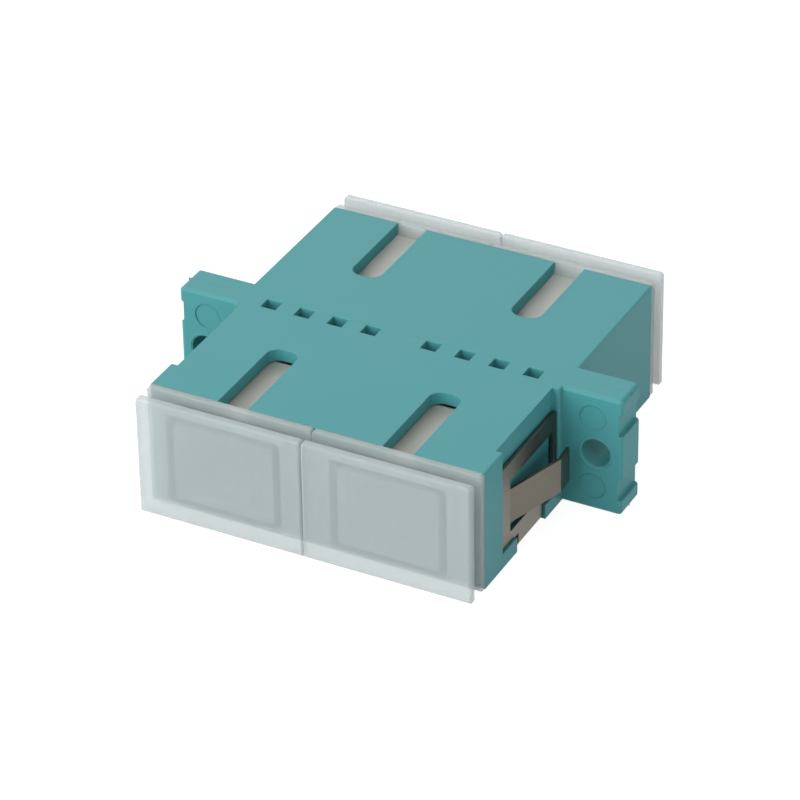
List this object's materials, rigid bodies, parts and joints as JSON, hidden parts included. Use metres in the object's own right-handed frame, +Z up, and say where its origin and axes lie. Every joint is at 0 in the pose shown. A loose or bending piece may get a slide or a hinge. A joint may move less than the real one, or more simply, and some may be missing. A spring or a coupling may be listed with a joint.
{
  "type": "sc duplex fibre adapter",
  "caption": "Flanged panel adapter that joins two pairs of square fibre connectors end to end, with a spring clip, split sleeves and pull-off dust caps.",
  "frame": {"origin": "middle of the underside, on the resting plane, under the weld plane of the two halves", "axes": "+X along the row of ports, -Y towards the face on the clip's side, +Z up to the keyway side"},
  "size_m": [0.0348, 0.0314, 0.0094],
  "materials": {
    "aqua_housing": "satin moulded aqua PBT",
    "dust_cap": "milky translucent polyethylene",
    "spring_steel": "rolled stainless strip",
    "sleeve_holder": "natural moulded plastic",
    "split_sleeve": "ground white zirconia"
  },
  "bodies": {
    "adapter": {"housing_front": "aqua_housing", "housing_rear": "aqua_housing", "retaining_clip": "spring_steel", "sleeve_left": "split_sleeve", "sleeve_right": "split_sleeve", "holder_front_left": "sleeve_holder", "holder_front_right": "sleeve_holder", "holder_rear_left": "sleeve_holder", "holder_rear_right": "sleeve_holder"},
    "cap_front_left": {"cap_front_left": "dust_cap"},
    "cap_front_right": {"cap_front_right": "dust_cap"},
    "cap_rear_left": {"cap_rear_left": "dust_cap"},
    "cap_rear_right": {"cap_rear_right": "dust_cap"}
  },
  "joints": [
    {"name": "pull_cap_front_left", "type": "slide", "parent": "adapter", "child": "cap_front_left", "axis": [0, -1, 0], "range_m": [0, 0.025]},
    {"name": "pull_cap_front_right", "type": "slide", "parent": "adapter", "child": "cap_front_right", "axis": [0, -1, 0], "range_m": [0, 0.025]},
    {"name": "pull_cap_rear_left", "type": "slide", "parent": "adapter", "child": "cap_rear_left", "axis": [0, 1, 0], "range_m": [0, 0.025]},
    {"name": "pull_cap_rear_right", "type": "slide", "parent": "adapter", "child": "cap_rear_right", "axis": [0, 1, 0], "range_m": [0, 0.025]}
  ]
}
